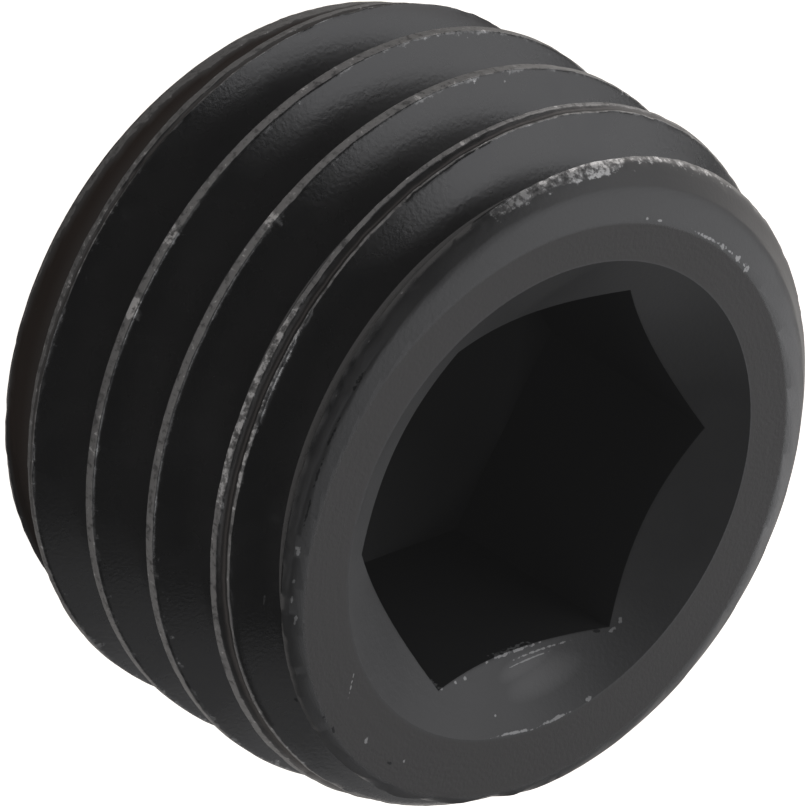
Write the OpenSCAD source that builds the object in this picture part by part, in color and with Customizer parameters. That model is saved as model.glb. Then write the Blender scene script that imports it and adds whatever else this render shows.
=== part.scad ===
// Hexagon-socket grub screw: one turned and thread-rolled steel piece, in millimetres.
// It stands on its flat point. +Z is the screw's axis, out of the socket, and the origin is the
// centre of the point's face. A corner of the hexagon lies on +X.

/* [Thread] */
// Major diameter, over the crests
major_d = 16; // [15.5:0.05:16.5]
// Axial distance from one crest to the next
pitch = 2; // [1.5:0.05:2.5]
// Angle between the two flanks of a groove
flank_angle = 60; // [55:1:62]
// Depth of the groove below the crests, as a share of the pitch
depth_share = 0.6134; // [0.5:0.01:0.64]
// Flat left on the crest, as a share of the pitch
crest_share = 0.125; // [0.1:0.005:0.18]
// Direction, about the axis from +X, in which a groove runs out on the socket face
thread_turn = -41; // [-180:1:180]

/* [Body] */
// Length from the point's face to the socket face
body_l = 10; // [9:0.1:14]
// Diameter of the flat ring at the socket end
face_d = 12.7; // [12.4:0.1:13.4]
// Slope of the first, shallow chamfer at the socket end, from the face
face_slope = 8; // [5:1:16]
// Diameter at which the second, steeper chamfer begins
edge_d = 14.1; // [13.7:0.05:14.3]
// Slope of the second chamfer, from the face
edge_slope = 36; // [25:1:45]
// Length over which the crests near the socket end are not filled out
face_lead = 2.6; // [1.5:0.1:3.5]
// Height that those crests lack at the socket face
face_lack = 0.76; // [0.5:0.02:0.9]
// Length over which the groove runs out before the socket face
face_fade = 0.4; // [0.2:0.05:2]
// Share of the groove's depth that is left at the socket face
face_groove = 0.1; // [0.05:0.05:1]
// Diameter of the flat point
point_d = 13.3; // [12.4:0.1:13.5]
// Slope of the chamfer at the point, from the face
point_slope = 40; // [25:1:45]
// Length over which the crests near the point are not filled out
point_lead = 2.25; // [1.5:0.05:3]
// Height that those crests lack at the point's face
point_lack = 1; // [0.6:0.05:1.1]
// Length over which the groove runs out before the point's face
point_fade = 2.25; // [0.5:0.05:3]
// Share of the groove's depth that is left at the point's face
point_groove = 0.1; // [0.05:0.05:1]

/* [Socket] */
// Width across the flats of the hexagon, with its clearance over an 8 mm key
socket_af = 8.15; // [7.8:0.01:8.4]
// Depth of the hexagon below the socket face
socket_depth = 5.6; // [4.8:0.1:6]
// Diameter of the countersink on the socket face
sink_d = 11; // [10.4:0.02:11.8]
// Included angle of the countersink
sink_angle = 112; // [90:1:130]
// Included angle of the pilot drill's point, under the hexagon
drill_angle = 120; // [110:1:140]

/* [Hidden] */
// Segments of the thread in one turn
turn_steps = 48;
major_r = major_d / 2;
half_flank = flank_angle / 2;
groove_h = pitch * depth_share;
// Half of the groove's width at the crests
groove_top = pitch * (1 - crest_share) / 2;
// The cutter stands proud of the crests by less than would make its turns touch
proud = 0.6 * pitch * crest_share / 2 / tan(half_flank);
// Whole turns that reach past both ends
turns_low = -1;
turns_high = ceil(body_l / pitch) + 1;
steps = (turns_high - turns_low) * turn_steps;
// Where each chamfer meets the unfilled crests, measured from its face
edge_drop = (edge_d - face_d) / 2 * tan(face_slope);
face_in = (major_r - face_lack - edge_d / 2 + edge_drop / tan(edge_slope))
    / (1 / tan(edge_slope) - face_lack / face_lead);
point_in = (major_r - point_lack - point_d / 2) / (1 / tan(point_slope) - point_lack / point_lead);
// The countersink's own point lies below the face, and its mouth is carried above it
sink_slope = tan(90 - sink_angle / 2);
sink_h = sink_d / 2 * sink_slope;
// The pilot drill is as wide as the hexagon's flats
drill_r = socket_af / 2;
drill_h = drill_r * tan(90 - drill_angle / 2);
over = 1;

// Envelope of the crests: a cylinder, lower crests towards both ends, and a chamfer at each face.
module blank() {
    rotate_extrude($fn = 96)
        polygon([
            [0, 0],
            [point_d / 2, 0],
            [point_d / 2 + point_in / tan(point_slope), point_in],
            [major_r, point_lead],
            [major_r, body_l - face_lead],
            [edge_d / 2 + (face_in - edge_drop) / tan(edge_slope), body_l - face_in],
            [edge_d / 2, body_l - edge_drop],
            [face_d / 2, body_l],
            [0, body_l]
        ]);
}

// Share of a feature at a height, rising from its value at an end to 1 where the lead is over.
function lead_share(from_end, lead, left) = left + (1 - left) * max(0, min(1, from_end / lead));

// The groove's depth at a height: it runs out towards both ends.
function groove_depth(z) = groove_h * lead_share(z, point_fade, point_groove)
    * lead_share(body_l - z, face_fade, face_groove);

// One section of the rolled groove of some depth, from its low to its high side.
function groove_section(h) = [
    [major_r + proud, -groove_top - proud * tan(half_flank)],
    [major_r - h, h * tan(half_flank) - groove_top],
    [major_r - h, groove_top - h * tan(half_flank)],
    [major_r + proud, groove_top + proud * tan(half_flank)]
];

// Right-hand groove, swept as one closed body along its helix.
module groove() {
    n = 4;
    points = [
        for (i = [0 : steps])
            let (turn = turns_low + i / turn_steps, a = 360 * turn, z = body_l % pitch + pitch * turn)
                for (p = groove_section(groove_depth(z)))
                    [p[0] * cos(a), p[0] * sin(a), p[1] + z]
    ];
    sides = [
        for (i = [0 : steps - 1])
            for (k = [0 : n - 1])
                let (m = (k + 1) % n)
                    for (t = [[i * n + k, (i + 1) * n + m, i * n + m],
                              [i * n + k, (i + 1) * n + k, (i + 1) * n + m]])
                        t
    ];
    first = [0, 1, 3];
    first_b = [1, 2, 3];
    base = steps * n;
    last = [base, base + 3, base + 1];
    last_b = [base + 1, base + 3, base + 2];
    polyhedron(points = points, faces = concat([first, first_b, last, last_b], sides), convexity = 10);
}

// Countersunk hexagon over the pilot drill's conical bottom.
module socket() {
    translate([0, 0, body_l - socket_depth])
        cylinder(d = socket_af / cos(30), h = socket_depth + over, $fn = 6);
    translate([0, 0, body_l - sink_h])
        cylinder(r1 = 0, r2 = sink_d / 2 + over / sink_slope, h = sink_h + over, $fn = 96);
    translate([0, 0, body_l - socket_depth - drill_h])
        cylinder(r1 = 0, r2 = drill_r, h = drill_h, $fn = 96);
}

module grub_screw() {
    color([0.09, 0.09, 0.095])
        difference() {
            blank();
            rotate([0, 0, thread_turn]) groove();
            socket();
        }
}

grub_screw();
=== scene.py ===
"""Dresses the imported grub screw: rolled thread, broached socket, black oxide finish, studio light.

Lengths in the dataclass fields are millimetres, and meshes are written in metres. The screw stands on
its point at the origin, with +Z out of the socket and a corner of the hexagon on +X.
"""

import logging
import math
from dataclasses import dataclass, field
from enum import Enum

import bpy
import numpy as np
from mathutils import Matrix, Vector

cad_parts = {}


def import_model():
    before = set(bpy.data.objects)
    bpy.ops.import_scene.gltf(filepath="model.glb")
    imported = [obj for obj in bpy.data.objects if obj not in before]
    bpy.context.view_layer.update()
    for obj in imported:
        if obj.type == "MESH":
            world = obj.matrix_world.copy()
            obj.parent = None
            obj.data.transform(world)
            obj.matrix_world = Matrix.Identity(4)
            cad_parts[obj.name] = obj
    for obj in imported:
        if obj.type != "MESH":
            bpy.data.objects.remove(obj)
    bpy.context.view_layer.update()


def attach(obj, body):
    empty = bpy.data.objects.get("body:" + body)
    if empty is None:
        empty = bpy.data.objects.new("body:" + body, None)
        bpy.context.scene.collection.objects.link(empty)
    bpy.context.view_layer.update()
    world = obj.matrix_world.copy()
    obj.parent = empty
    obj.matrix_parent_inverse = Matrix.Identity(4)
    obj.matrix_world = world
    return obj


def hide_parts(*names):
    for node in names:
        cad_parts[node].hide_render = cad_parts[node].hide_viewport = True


LOG = logging.getLogger("grub_screw")
MM = 0.001


class Zone(Enum):
    """Names of the vertex attributes that tell the finish how a surface was made."""

    CREST = "crest"
    TURNED = "turned"
    BROACHED = "broached"
    SCALE = "scale"
    WEAR = "wear"
    ALONG = "lay_along"
    ACROSS = "lay_across"


def linear(hex_colour: str) -> tuple[float, float, float, float]:
    """Turns an sRGB hex colour to linear RGBA.

    Args:
        hex_colour: Colour such as "#606062".

    Returns:
        Red, green, blue and an alpha of 1.
    """
    parts = [int(hex_colour[i : i + 2], 16) / 255 for i in (1, 3, 5)]
    bent = [c / 12.92 if c <= 0.04045 else ((c + 0.055) / 1.055) ** 2.4 for c in parts]
    return (bent[0], bent[1], bent[2], 1.0)


def add_node(
    tree: bpy.types.NodeTree, kind: str, inputs: dict | None = None, **settings: object
) -> bpy.types.Node:
    """Adds one node, sets its options and fills or links its inputs.

    Args:
        tree: Tree that gets the node.
        kind: Blender's name of the node type.
        inputs: Input name or number to a value, or to the output socket that feeds it.
        settings: Options of the node.

    Returns:
        The new node.
    """
    node = tree.nodes.new(kind)
    for name, value in settings.items():
        setattr(node, name, value)
    for key, value in (inputs or {}).items():
        if isinstance(value, bpy.types.NodeSocket):
            tree.links.new(value, node.inputs[key])
        else:
            node.inputs[key].default_value = value
    return node


def shape_curve(node: bpy.types.Node, points: list[tuple[float, float]]) -> bpy.types.Node:
    """Gives a Float Curve node straight segments through some points.

    Args:
        node: Float Curve node.
        points: Position and value, from 0 to 1, in order.

    Returns:
        The same node.
    """
    curve = node.mapping.curves[0]
    while len(curve.points) < len(points):
        curve.points.new(0.5, 0.5)
    for point, place in zip(curve.points, points):
        point.location = place
        point.handle_type = "VECTOR"
    node.mapping.update()
    return node


@dataclass(frozen=True)
class Mark:
    """One scratch or bright speck on the socket end, seen from above."""

    x: float
    y: float
    heading: float
    length: float
    width: float


@dataclass(frozen=True)
class BlackOxideSteel:
    """Black oxide over alloy steel, which keeps the metal's gloss but returns little light.

    Rolled flanks are burnished and mirror the room darkly, turned faces are satin, and the high edges
    are rubbed to grey metal in specks. Grain and streaks are drawn coarser than real ones, so that they
    show at the photograph's scale.
    """

    name: str = "black_oxide_steel"
    oxide: str = "#626264"
    oxide_thin: str = "#727273"
    # Darker colour given to the socket's walls and drill point, and to the dark dashes on the socket end
    socket_tone: str = "#424244"
    scale: str = "#4a403b"
    bare: str = "#e2e2e4"
    crest_bare: float = 0.19
    mark_bare: float = 0.5
    smear_bare: float = 0.10
    flank_roughness: float = 0.27
    turned_roughness: float = 0.46
    grain_mm: float = 0.09
    cloud_mm: float = 1.6
    streak_long_mm: float = 5.0
    streak_wide_mm: float = 0.16
    speck_mm: float = 0.19
    speck_gain: float = 0.30
    speck_from: float = 0.77
    speck_sharpness: float = 9.0
    torn_gain: float = 0.9
    torn_range: tuple[float, float] = (1.31, 1.43)
    cloud_roughness: float = 0.22
    dull_roughness: float = 0.3
    streak_share: float = 0.6
    relief_strength: float = 0.35
    relief_mm: float = 0.012
    mark_sharpness: float = 2.5
    marks_above: float = 8.9
    marks: tuple[Mark, ...] = (
        Mark(-5.46, -2.72, 78.0, 0.56, 0.05),
        Mark(-4.96, -4.23, 70.0, 0.16, 0.11),
        Mark(-3.88, -5.09, 40.0, 0.10, 0.09),
        Mark(-1.16, -5.01, 0.0, 0.07, 0.06),
        Mark(-0.80, -5.43, -8.0, 1.10, 0.06),
        Mark(0.30, -5.46, 6.0, 1.05, 0.07),
        Mark(1.22, -5.28, 20.0, 0.17, 0.12),
        Mark(-0.20, -4.10, 0.0, 1.70, 0.07),
        Mark(0.45, -4.22, 2.0, 1.70, 0.04),
        Mark(0.10, -4.32, 3.0, 1.20, 0.03),
        Mark(-2.43, -4.06, 0.0, 0.16, 0.14),
        Mark(-2.62, -3.74, 60.0, 0.34, 0.08),
        Mark(-3.00, -3.12, 60.0, 0.16, 0.08),
        Mark(-1.97, -4.13, 0.0, 0.10, 0.09),
        Mark(-1.66, -4.17, 0.0, 0.13, 0.11),
        Mark(2.20, -4.13, 20.0, 0.17, 0.10),
        Mark(2.42, -3.98, 70.0, 0.17, 0.09),
        Mark(3.74, 5.08, -36.0, 0.95, 0.08),
        Mark(4.22, 4.70, -40.0, 0.26, 0.14),
        Mark(4.45, 4.49, -44.0, 0.20, 0.07),
        Mark(4.66, 4.27, -45.0, 0.28, 0.16),
        Mark(4.90, 3.97, -52.0, 0.28, 0.18),
        Mark(2.04, 6.06, -20.0, 0.10, 0.07),
        Mark(2.38, 5.90, -20.0, 0.14, 0.07),
        Mark(-7.08, 1.02, 100.0, 0.26, 0.14),
        Mark(-7.15, 0.30, 90.0, 0.16, 0.07),
        Mark(-7.17, -0.12, 90.0, 0.18, 0.07),
        Mark(-7.06, -0.66, 80.0, 0.32, 0.09),
    )
    smears: tuple[Mark, ...] = (
        Mark(0.36, -4.67, 8.0, 2.20, 0.70),
        Mark(0.05, -4.40, 5.0, 1.70, 0.45),
    )
    # Dark dashes along the face's outer edge and one at the socket's edge, drawn in the socket's darker
    # colour
    dark_dashes: tuple[Mark, ...] = (
        Mark(-6.16, -3.27, 118.0, 0.20, 0.08),
        Mark(-5.89, -3.64, 122.0, 0.24, 0.09),
        Mark(-4.28, -4.99, 139.0, 0.24, 0.07),
        Mark(-5.60, 4.54, 51.0, 0.60, 0.07),
        Mark(-6.22, 3.59, 60.0, 0.80, 0.07),
        Mark(-6.63, 2.68, 68.0, 0.80, 0.07),
        Mark(-6.88, 1.84, 75.0, 0.70, 0.07),
        Mark(1.86, -4.08, 10.0, 0.22, 0.16),
    )

    def mark_group(self) -> bpy.types.NodeTree:
        """Builds the node group that measures how far a place is from one mark.

        Returns:
            The group, with the mark's middle and its two axes as inputs.
        """
        tree = bpy.data.node_groups.new("handling_mark", "ShaderNodeTree")
        for name in ("Place", "Centre", "Along", "Across"):
            tree.interface.new_socket(name, in_out="INPUT", socket_type="NodeSocketVector")
        tree.interface.new_socket("Away", in_out="OUTPUT", socket_type="NodeSocketFloat")
        given = add_node(tree, "NodeGroupInput").outputs
        off = add_node(
            tree, "ShaderNodeVectorMath", {0: given["Place"], 1: given["Centre"]}, operation="SUBTRACT"
        ).outputs[0]
        long = add_node(
            tree, "ShaderNodeVectorMath", {0: off, 1: given["Along"]}, operation="DOT_PRODUCT"
        ).outputs["Value"]
        wide = add_node(
            tree, "ShaderNodeVectorMath", {0: off, 1: given["Across"]}, operation="DOT_PRODUCT"
        ).outputs["Value"]
        away = add_node(tree, "ShaderNodeMath", {0: long, 1: long}, operation="MULTIPLY").outputs[0]
        away = add_node(
            tree, "ShaderNodeMath", {0: wide, 1: wide, 2: away}, operation="MULTIPLY_ADD"
        ).outputs[0]
        add_node(tree, "NodeGroupOutput", {"Away": away})
        return tree

    def draw_marks(
        self,
        tree: bpy.types.NodeTree,
        group: bpy.types.NodeTree,
        place: bpy.types.NodeSocket,
        marks: tuple[Mark, ...],
    ) -> bpy.types.NodeSocket:
        """Measures how far each place on the socket end is from the nearest of some marks.

        Args:
            tree: The material's tree.
            group: Node group that measures one mark.
            place: Object coordinates.
            marks: The marks.

        Returns:
            Square of the distance, 1 at the mark's own edge.
        """
        nearest = None
        for mark in marks:
            angle = math.radians(mark.heading)
            long = 2 / (mark.length * MM)
            wide = 2 / (mark.width * MM)
            away = add_node(
                tree,
                "ShaderNodeGroup",
                {
                    "Place": place,
                    "Centre": (mark.x * MM, mark.y * MM, 0.0),
                    "Along": (math.cos(angle) * long, math.sin(angle) * long, 0.0),
                    "Across": (-math.sin(angle) * wide, math.cos(angle) * wide, 0.0),
                },
                node_tree=group,
            ).outputs[0]
            if nearest is None:
                nearest = away
            else:
                nearest = add_node(
                    tree, "ShaderNodeMath", {0: nearest, 1: away}, operation="MINIMUM"
                ).outputs[0]
        return nearest

    def cover_marks(
        self,
        tree: bpy.types.NodeTree,
        away: bpy.types.NodeSocket,
        reach: bpy.types.NodeSocket | float,
        upper: bpy.types.NodeSocket,
        sharpness: float,
    ) -> bpy.types.NodeSocket:
        """Turns the distance from some marks to their cover.

        Args:
            tree: The material's tree.
            away: Square of the distance, 1 at the marks' own edges.
            reach: Where the cover ends.
            upper: 1 on the socket end, 0 below it.
            sharpness: How fast the cover rises from that end.

        Returns:
            Cover of the marks, from 0 to 1.
        """
        inside = add_node(tree, "ShaderNodeMath", {0: reach, 1: away}, operation="SUBTRACT").outputs[0]
        cover = add_node(
            tree, "ShaderNodeMath", {0: inside, 1: sharpness}, operation="MULTIPLY", use_clamp=True
        ).outputs[0]
        return add_node(tree, "ShaderNodeMath", {0: cover, 1: upper}, operation="MULTIPLY").outputs[0]

    def tone(
        self, tree: bpy.types.NodeTree, zones: dict[Zone, bpy.types.NodeSocket], cloud: bpy.types.NodeSocket
    ) -> bpy.types.NodeSocket:
        """Mixes the oxide's tone, which drifts in soft clouds as the bath leaves it.

        Args:
            tree: The material's tree.
            zones: Zones of the finish.
            cloud: Soft noise.

        Returns:
            Colour of the oxide.
        """
        oxide = add_node(
            tree,
            "ShaderNodeMix",
            {0: cloud, 6: linear(self.oxide), 7: linear(self.oxide_thin)},
            data_type="RGBA",
        ).outputs[2]
        # The socket's walls and drill point go to a darker colour, the scale to its brown
        for zone, hex_colour in ((Zone.BROACHED, self.socket_tone), (Zone.SCALE, self.scale)):
            oxide = add_node(
                tree,
                "ShaderNodeMix",
                {0: zones[zone], 6: oxide, 7: linear(hex_colour)},
                data_type="RGBA",
            ).outputs[2]
        return oxide

    def rub(
        self,
        tree: bpy.types.NodeTree,
        zones: dict[Zone, bpy.types.NodeSocket],
        cloud: bpy.types.NodeSocket,
        speck: bpy.types.NodeSocket,
    ) -> bpy.types.NodeSocket:
        """Finds where the crests are rubbed: bare in specks, and thin in torn stretches.

        Args:
            tree: The material's tree.
            zones: Zones of the finish.
            cloud: Soft noise.
            speck: Fine noise.

        Returns:
            Share of bare metal.
        """
        rubbed = add_node(
            tree, "ShaderNodeMath", {0: zones[Zone.WEAR], 1: zones[Zone.CREST]}, operation="MULTIPLY"
        ).outputs[0]
        reach = add_node(
            tree,
            "ShaderNodeMath",
            {0: rubbed, 1: self.speck_gain, 2: -self.speck_from},
            operation="MULTIPLY_ADD",
        ).outputs[0]
        specks = add_node(tree, "ShaderNodeMath", {0: speck, 1: reach}, operation="ADD").outputs[0]
        specks = add_node(
            tree,
            "ShaderNodeMath",
            {0: specks, 1: self.speck_sharpness},
            operation="MULTIPLY",
            use_clamp=True,
        ).outputs[0]
        torn = add_node(
            tree,
            "ShaderNodeMath",
            {0: speck, 1: self.torn_gain, 2: zones[Zone.CREST]},
            operation="MULTIPLY_ADD",
        ).outputs[0]
        start, end = self.torn_range
        torn = add_node(
            tree, "ShaderNodeMapRange", {0: torn, 1: start, 2: end, 3: 0.0, 4: self.crest_bare}
        ).outputs[0]
        thin = add_node(
            tree, "ShaderNodeMath", {0: torn, 1: cloud, 2: torn}, operation="MULTIPLY_ADD"
        ).outputs[0]
        return add_node(tree, "ShaderNodeMath", {0: specks, 1: thin}, operation="MAXIMUM").outputs[0]

    def gloss(
        self, tree: bpy.types.NodeTree, zones: dict[Zone, bpy.types.NodeSocket], cloud: bpy.types.NodeSocket
    ) -> bpy.types.NodeSocket:
        """Sets the roughness: burnished flanks, satin turned faces, dull scale, all a little cloudy.

        Args:
            tree: The material's tree.
            zones: Zones of the finish.
            cloud: Soft noise.

        Returns:
            Roughness.
        """
        base = add_node(
            tree,
            "ShaderNodeMix",
            {0: zones[Zone.TURNED], 2: self.flank_roughness, 3: self.turned_roughness},
            clamp_factor=False,
        ).outputs[0]
        drift = add_node(
            tree,
            "ShaderNodeMath",
            {0: cloud, 1: self.cloud_roughness, 2: -self.cloud_roughness / 2},
            operation="MULTIPLY_ADD",
        ).outputs[0]
        dull = add_node(
            tree, "ShaderNodeMath", {0: zones[Zone.SCALE], 1: zones[Zone.BROACHED]}, operation="MAXIMUM"
        ).outputs[0]
        drift = add_node(
            tree, "ShaderNodeMath", {0: dull, 1: self.dull_roughness, 2: drift}, operation="MULTIPLY_ADD"
        ).outputs[0]
        return add_node(tree, "ShaderNodeMath", {0: base, 1: drift}, operation="ADD").outputs[0]

    def relief(
        self, tree: bpy.types.NodeTree, zones: dict[Zone, bpy.types.NodeSocket], grain: bpy.types.NodeSocket
    ) -> bpy.types.NodeSocket:
        """Draws fine grain, and the lines that rolling leaves along the flanks.

        Args:
            tree: The material's tree.
            zones: Zones of the finish.
            grain: Grain of the oxide.

        Returns:
            Normal.
        """
        lay = {}
        lines = ((Zone.ALONG, self.streak_long_mm), (Zone.ACROSS, self.streak_wide_mm))
        for axis, (zone, spacing) in enumerate(lines):
            lay[axis] = add_node(
                tree, "ShaderNodeMath", {0: zones[zone], 1: 1 / (spacing * MM)}, operation="MULTIPLY"
            ).outputs[0]
        streak = add_node(
            tree,
            "ShaderNodeTexNoise",
            {
                "Vector": add_node(tree, "ShaderNodeCombineXYZ", lay).outputs[0],
                "Scale": 1.0,
                "Detail": 3.0,
            },
        ).outputs["Fac"]
        height = add_node(
            tree, "ShaderNodeMath", {0: streak, 1: self.streak_share, 2: grain}, operation="MULTIPLY_ADD"
        ).outputs[0]
        return add_node(
            tree,
            "ShaderNodeBump",
            {"Height": height, "Strength": self.relief_strength, "Distance": self.relief_mm * MM},
        ).outputs[0]

    def build(self) -> bpy.types.Material:
        """Builds the material.

        Returns:
            The finished material.
        """
        material = bpy.data.materials.new(self.name)
        material.use_nodes = True
        tree = material.node_tree
        tree.nodes.clear()
        place = add_node(tree, "ShaderNodeTexCoord").outputs["Object"]
        zones = {
            zone: add_node(tree, "ShaderNodeAttribute", attribute_name=zone.value).outputs["Fac"]
            for zone in Zone
        }
        cloud = add_node(
            tree,
            "ShaderNodeTexNoise",
            {"Vector": place, "Scale": 1 / (self.cloud_mm * MM), "Detail": 4.0, "Roughness": 0.6},
        ).outputs["Fac"]
        speck = add_node(
            tree,
            "ShaderNodeTexNoise",
            {"Vector": place, "Scale": 1 / (self.speck_mm * MM), "Detail": 3.0, "Roughness": 0.7},
        ).outputs["Fac"]
        grain = add_node(
            tree,
            "ShaderNodeTexNoise",
            {"Vector": place, "Scale": 1 / (self.grain_mm * MM), "Detail": 2.0},
        ).outputs["Fac"]

        # Dark dashes, smears and bright marks lie on the socket end only, with edges that follow the grain
        group = self.mark_group()
        height = add_node(tree, "ShaderNodeSeparateXYZ", {0: place}).outputs[2]
        upper = add_node(
            tree, "ShaderNodeMath", {0: height, 1: self.marks_above * MM}, operation="GREATER_THAN"
        ).outputs[0]
        uneven = add_node(
            tree, "ShaderNodeMath", {0: grain, 1: 4.0, 2: -1.3}, operation="MULTIPLY_ADD"
        ).outputs[0]
        dark_dashes = self.draw_marks(tree, group, place, self.dark_dashes)
        dark_dashes = self.cover_marks(tree, dark_dashes, uneven, upper, self.mark_sharpness)
        smears = self.draw_marks(tree, group, place, self.smears)
        smears = self.cover_marks(tree, smears, 1.0, upper, self.smear_bare)
        marks = self.draw_marks(tree, group, place, self.marks)
        marks = self.cover_marks(tree, marks, uneven, upper, self.mark_sharpness)
        marks = add_node(
            tree, "ShaderNodeMath", {0: marks, 1: self.mark_bare}, operation="MULTIPLY"
        ).outputs[0]

        # The dark dashes take the socket's darker colour
        oxide = add_node(
            tree,
            "ShaderNodeMix",
            {0: dark_dashes, 6: self.tone(tree, zones, cloud), 7: linear(self.socket_tone)},
            data_type="RGBA",
        ).outputs[2]
        bare = self.rub(tree, zones, cloud, speck)
        for cover in (smears, marks):
            bare = add_node(tree, "ShaderNodeMath", {0: bare, 1: cover}, operation="MAXIMUM").outputs[0]
        colour = add_node(
            tree, "ShaderNodeMix", {0: bare, 6: oxide, 7: linear(self.bare)}, data_type="RGBA"
        ).outputs[2]
        metal = add_node(
            tree, "ShaderNodeMath", {0: 1.0, 1: zones[Zone.BROACHED]}, operation="SUBTRACT"
        ).outputs[0]
        shader = add_node(
            tree,
            "ShaderNodeBsdfPrincipled",
            {
                "Base Color": colour,
                "Metallic": metal,
                "Roughness": self.gloss(tree, zones, cloud),
                "Normal": self.relief(tree, zones, grain),
            },
        )
        add_node(tree, "ShaderNodeOutputMaterial", {"Surface": shader.outputs[0]})
        return material


@dataclass(frozen=True)
class PalePaper:
    """Matt pale paper, pure white on the page, that lights the screw gently and more on the key's side.

    The sheet is clear from below, so that the point can be looked at.
    """

    name: str = "white_paper"
    tone: str = "#f2eeea"
    glow: float = 0.1
    key_glow: float = 0.75
    key_azimuth: float = -10.0
    key_ramp: tuple[float, float] = (4.0, 30.0)
    roughness: float = 0.9
    page: float = 1.3

    def build(self) -> bpy.types.Material:
        """Builds the material.

        Returns:
            The finished material.
        """
        material = bpy.data.materials.new(self.name)
        material.use_nodes = True
        tree = material.node_tree
        tree.nodes.clear()
        seen = add_node(tree, "ShaderNodeLightPath").outputs["Is Camera Ray"]
        angle = math.radians(self.key_azimuth)
        toward = add_node(
            tree,
            "ShaderNodeVectorMath",
            {
                0: add_node(tree, "ShaderNodeTexCoord").outputs["Object"],
                1: (math.cos(angle), math.sin(angle), 0.0),
            },
            operation="DOT_PRODUCT",
        ).outputs["Value"]
        start, end = self.key_ramp
        glow = add_node(
            tree,
            "ShaderNodeMapRange",
            {0: toward, 1: start * MM, 2: end * MM, 3: self.glow, 4: self.key_glow},
        ).outputs[0]
        strength = add_node(tree, "ShaderNodeMix", {0: seen, 2: glow, 3: self.page}).outputs[0]
        shader = add_node(
            tree,
            "ShaderNodeBsdfPrincipled",
            {
                "Base Color": linear(self.tone),
                "Roughness": self.roughness,
                "Emission Color": linear(self.tone),
                "Emission Strength": strength,
            },
        )
        under = add_node(tree, "ShaderNodeNewGeometry").outputs["Backfacing"]
        clear = add_node(tree, "ShaderNodeBsdfTransparent").outputs[0]
        sheet = add_node(tree, "ShaderNodeMixShader", {0: under, 1: shader.outputs[0], 2: clear}).outputs[0]
        add_node(tree, "ShaderNodeOutputMaterial", {"Surface": sheet})
        return material


@dataclass
class Blank:
    """Envelope of the screw: outer sizes, chamfers, and crests that are not filled out near the ends."""

    major_d: float = 16.0
    length: float = 10.0
    face_d: float = 13.24
    face_slope: float = 14.0
    face_x: float = -0.29
    face_y: float = -0.23
    edge_d: float = 13.9
    edge_slope: float = 46.0
    edge_x: float = -0.20
    edge_y: float = -0.05
    face_lead: float = 2.6
    face_lack: float = 0.715
    face_fade: float = 0.4
    face_groove: float = 0.1
    point_d: float = 13.3
    point_slope: float = 40.0
    point_lead: float = 2.35
    point_lack: float = 0.92
    point_fade: float = 2.25
    point_groove: float = 0.1
    columns: int = 432

    def rim(self, cos: np.ndarray, sin: np.ndarray) -> np.ndarray:
        """Gives the outer edge of the flat face, where two circles off the axis cut each other.

        Args:
            cos: Cosines of the columns' angles.
            sin: Sines of the columns' angles.

        Returns:
            Radius of each column.
        """
        face = self.face_d / 2 + self.face_x * cos + self.face_y * sin
        edge = self.edge_d / 2 + self.edge_x * cos + self.edge_y * sin
        return np.minimum(face, edge)


@dataclass(frozen=True)
class WearPatch:
    """Stretch of crest that is rubbed more than the rest."""

    angle: float
    spread: float
    low: float
    high: float
    amount: float


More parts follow.
